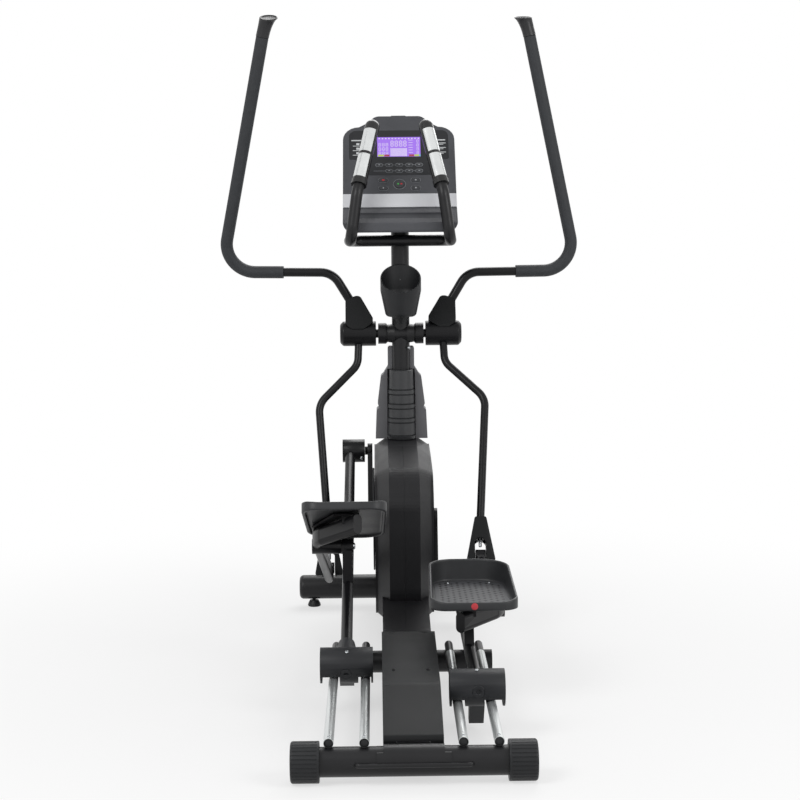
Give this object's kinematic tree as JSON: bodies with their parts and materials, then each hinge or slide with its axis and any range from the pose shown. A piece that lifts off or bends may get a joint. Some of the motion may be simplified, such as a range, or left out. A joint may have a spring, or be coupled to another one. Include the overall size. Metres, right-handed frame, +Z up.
{
  "type": "elliptical trainer",
  "caption": "Elliptical trainer with a front crank, roller carriages on rear rails, dished foot pedals, swinging arms with foam grips, a fixed pulse bar, console and cup holder.",
  "frame": {"origin": "on the floor, at the bottom centre of the bounding box", "axes": "+X to the user's right, +Y forward from the pedals to the mast and the crank, +Z up"},
  "size_m": [1.023, 1.7334, 1.7102],
  "materials": {
    "frame_paint": "satin black powder coat on steel tube",
    "arm_paint": "satin black powder coat on the moving arms",
    "rail_chrome": "bright plated steel sleeve with a soft sheen",
    "axle_steel": "turned steel",
    "housing_plastic": "fine-textured charcoal ABS",
    "cover_plastic": "fine-textured near-black ABS",
    "cap_plastic": "matt black moulded plastic",
    "console_plastic": "dark grey ABS",
    "panel_gloss": "smooth dark display window",
    "silver_plastic": "silver-painted plastic",
    "key_rubber": "soft silicone keys",
    "pulse_chrome": "bright plated steel contact",
    "grip_foam": "closed-cell foam with a dull, slightly mottled skin",
    "grip_rubber": "smooth black rubber",
    "pedal_plastic": "tough black moulded nylon",
    "roller_plastic": "grey polyurethane",
    "pulley_plastic": "grey glass-filled nylon",
    "wheel_iron": "machined cast iron",
    "belt_rubber": "ribbed black rubber"
  },
  "bodies": {
    "frame": {"main_frame": "frame_paint", "frame_brackets": "frame_paint", "rear_stabiliser": "frame_paint", "rear_caps": "cap_plastic", "front_stabiliser": "frame_paint", "rail_tubes": "frame_paint", "rail_sleeves": "rail_chrome", "mast": "frame_paint", "housing_left": "housing_plastic", "housing_right": "housing_plastic", "mast_boot": "housing_plastic", "mast_shroud": "console_plastic", "rear_cover": "cover_plastic", "cup_holder": "cap_plastic", "console_back": "cap_plastic", "console_front": "console_plastic", "display_panel": "panel_gloss", "trim_band": "silver_plastic", "reading_tray": "console_plastic", "handlebar": "frame_paint", "pulse_grips": "grip_rubber", "pulse_plates": "pulse_chrome", "drive_belt": "belt_rubber"},
    "crank": {"crank_axle": "axle_steel", "crank_arms": "arm_paint", "crank_discs": "cover_plastic", "drive_pulley": "pulley_plastic"},
    "flywheel": {"flywheel": "wheel_iron"},
    "foot_left": {"foot_left": "cap_plastic"},
    "foot_right": {"foot_right": "cap_plastic"},
    "key_a": {"key_a": "key_rubber"},
    "key_b": {"key_b": "key_rubber"},
    "key_c": {"key_c": "key_rubber"},
    "key_d": {"key_d": "key_rubber"},
    "key_round": {"key_round": "key_rubber"},
    "carriage_left": {"roller_axle_left": "axle_steel"},
    "rollers_left": {"rollers_left": "roller_plastic"},
    "bar_left": {"foot_bar_left": "arm_paint", "roller_cover_left": "cover_plastic"},
    "step_left": {"pedal_arm_left": "arm_paint", "pedal_left": "pedal_plastic"},
    "swing_left": {"swing_arm_left": "arm_paint", "fork_cover_left": "cap_plastic", "upper_handle_left": "arm_paint", "foam_grip_left": "grip_foam", "handle_boot_left": "cover_plastic", "grip_cap_left": "cap_plastic"},
    "carriage_right": {"roller_axle_right": "axle_steel"},
    "rollers_right": {"rollers_right": "roller_plastic"},
    "bar_right": {"foot_bar_right": "arm_paint", "roller_cover_right": "cover_plastic"},
    "step_right": {"pedal_arm_right": "arm_paint", "pedal_right": "pedal_plastic"},
    "swing_right": {"swing_arm_right": "arm_paint", "fork_cover_right": "cap_plastic", "upper_handle_right": "arm_paint", "foam_grip_right": "grip_foam", "handle_boot_right": "cover_plastic", "grip_cap_right": "cap_plastic"}
  },
  "joints": [
    {"name": "roller_slide_left", "type": "slide", "parent": "frame", "child": "carriage_left", "axis": [0, 1, 0], "range_m": [-0.275, 0.075]},
    {"name": "roller_slide_right", "type": "slide", "parent": "frame", "child": "carriage_right", "axis": [0, 1, 0], "range_m": [-0.075, 0.275]},
    {"name": "foot_bar_hinge_left", "type": "hinge", "parent": "carriage_left", "child": "bar_left", "pos_m": [0, -0.3361, 0.11955], "axis": [1, 0, 0], "range_deg": [-2.38, 0.67]},
    {"name": "pedal_arm_hinge_left", "type": "hinge", "parent": "bar_left", "child": "step_left", "pos_m": [0, 0.01403, 0.33287], "axis": [1, 0, 0], "range_deg": [-5, 18.3]},
    {"name": "swing_hinge_left", "type": "hinge", "parent": "frame", "child": "swing_left", "pos_m": [0, 0.71232, 0.811], "axis": [1, 0, 0], "range_deg": [-22.55, 6.17]},
    {"name": "roller_spin_left", "type": "hinge", "parent": "carriage_left", "child": "rollers_left", "pos_m": [0, -0.3361, 0.11955], "axis": [1, 0, 0], "continuous": true},
    {"name": "foot_bar_hinge_right", "type": "hinge", "parent": "carriage_right", "child": "bar_right", "pos_m": [0, -0.53714, 0.11955], "axis": [1, 0, 0], "range_deg": [-0.67, 2.38]},
    {"name": "pedal_arm_hinge_right", "type": "hinge", "parent": "bar_right", "child": "step_right", "pos_m": [0, -0.13548, 0.2018], "axis": [1, 0, 0], "range_deg": [-15.96, 4.37]},
    {"name": "swing_hinge_right", "type": "hinge", "parent": "frame", "child": "swing_right", "pos_m": [0, 0.71232, 0.811], "axis": [1, 0, 0], "range_deg": [-6.65, 24.32]},
    {"name": "roller_spin_right", "type": "hinge", "parent": "carriage_right", "child": "rollers_right", "pos_m": [0, -0.53714, 0.11955], "axis": [1, 0, 0], "continuous": true},
    {"name": "crank_spin", "type": "hinge", "parent": "frame", "child": "crank", "pos_m": [0, 0.63433, 0.285], "axis": [1, 0, 0], "continuous": true},
    {"name": "flywheel_spin", "type": "hinge", "parent": "frame", "child": "flywheel", "pos_m": [0, 0.42933, 0.285], "axis": [1, 0, 0], "continuous": true},
    {"name": "key_a_press", "type": "slide", "parent": "frame", "child": "key_a", "axis": [0, 0.788, -0.6157], "range_m": [0, 0.0012], "stiffness_N_per_m": 400, "springref_m": -0.001},
    {"name": "key_b_press", "type": "slide", "parent": "frame", "child": "key_b", "axis": [0, 0.788, -0.6157], "range_m": [0, 0.0012], "stiffness_N_per_m": 400, "springref_m": -0.001},
    {"name": "key_c_press", "type": "slide", "parent": "frame", "child": "key_c", "axis": [0, 0.788, -0.6157], "range_m": [0, 0.0012], "stiffness_N_per_m": 400, "springref_m": -0.001},
    {"name": "key_d_press", "type": "slide", "parent": "frame", "child": "key_d", "axis": [0, 0.788, -0.6157], "range_m": [0, 0.0012], "stiffness_N_per_m": 400, "springref_m": -0.001},
    {"name": "key_round_press", "type": "slide", "parent": "frame", "child": "key_round", "axis": [0, 0.788, -0.6157], "range_m": [0, 0.0012], "stiffness_N_per_m": 400, "springref_m": -0.001},
    {"name": "foot_screw_left", "type": "hinge", "parent": "frame", "child": "foot_left", "pos_m": [-0.262, 0.77033, 0.02], "axis": [0, 0, 1], "continuous": true},
    {"name": "foot_screw_right", "type": "hinge", "parent": "frame", "child": "foot_right", "pos_m": [0.262, 0.77033, 0.02], "axis": [0, 0, 1], "continuous": true}
  ],
  "couplings": [
    {"joint": "roller_slide_right", "follows": "roller_slide_left", "ratio": -1},
    {"joint": "foot_bar_hinge_left", "follows": "roller_slide_left", "rad_per_m": 0.15},
    {"joint": "pedal_arm_hinge_left", "follows": "roller_slide_left", "rad_per_m": -1.16},
    {"joint": "swing_hinge_left", "follows": "roller_slide_left", "rad_per_m": 1.43},
    {"joint": "roller_spin_left", "follows": "roller_slide_left", "rad_per_m": -45.455},
    {"joint": "foot_bar_hinge_right", "follows": "roller_slide_left", "rad_per_m": -0.15},
    {"joint": "pedal_arm_hinge_right", "follows": "roller_slide_left", "rad_per_m": 1.012},
    {"joint": "swing_hinge_right", "follows": "roller_slide_left", "rad_per_m": -1.542},
    {"joint": "roller_spin_right", "follows": "roller_slide_left", "rad_per_m": 45.455},
    {"joint": "flywheel_spin", "follows": "crank_spin", "ratio": 5}
  ]
}
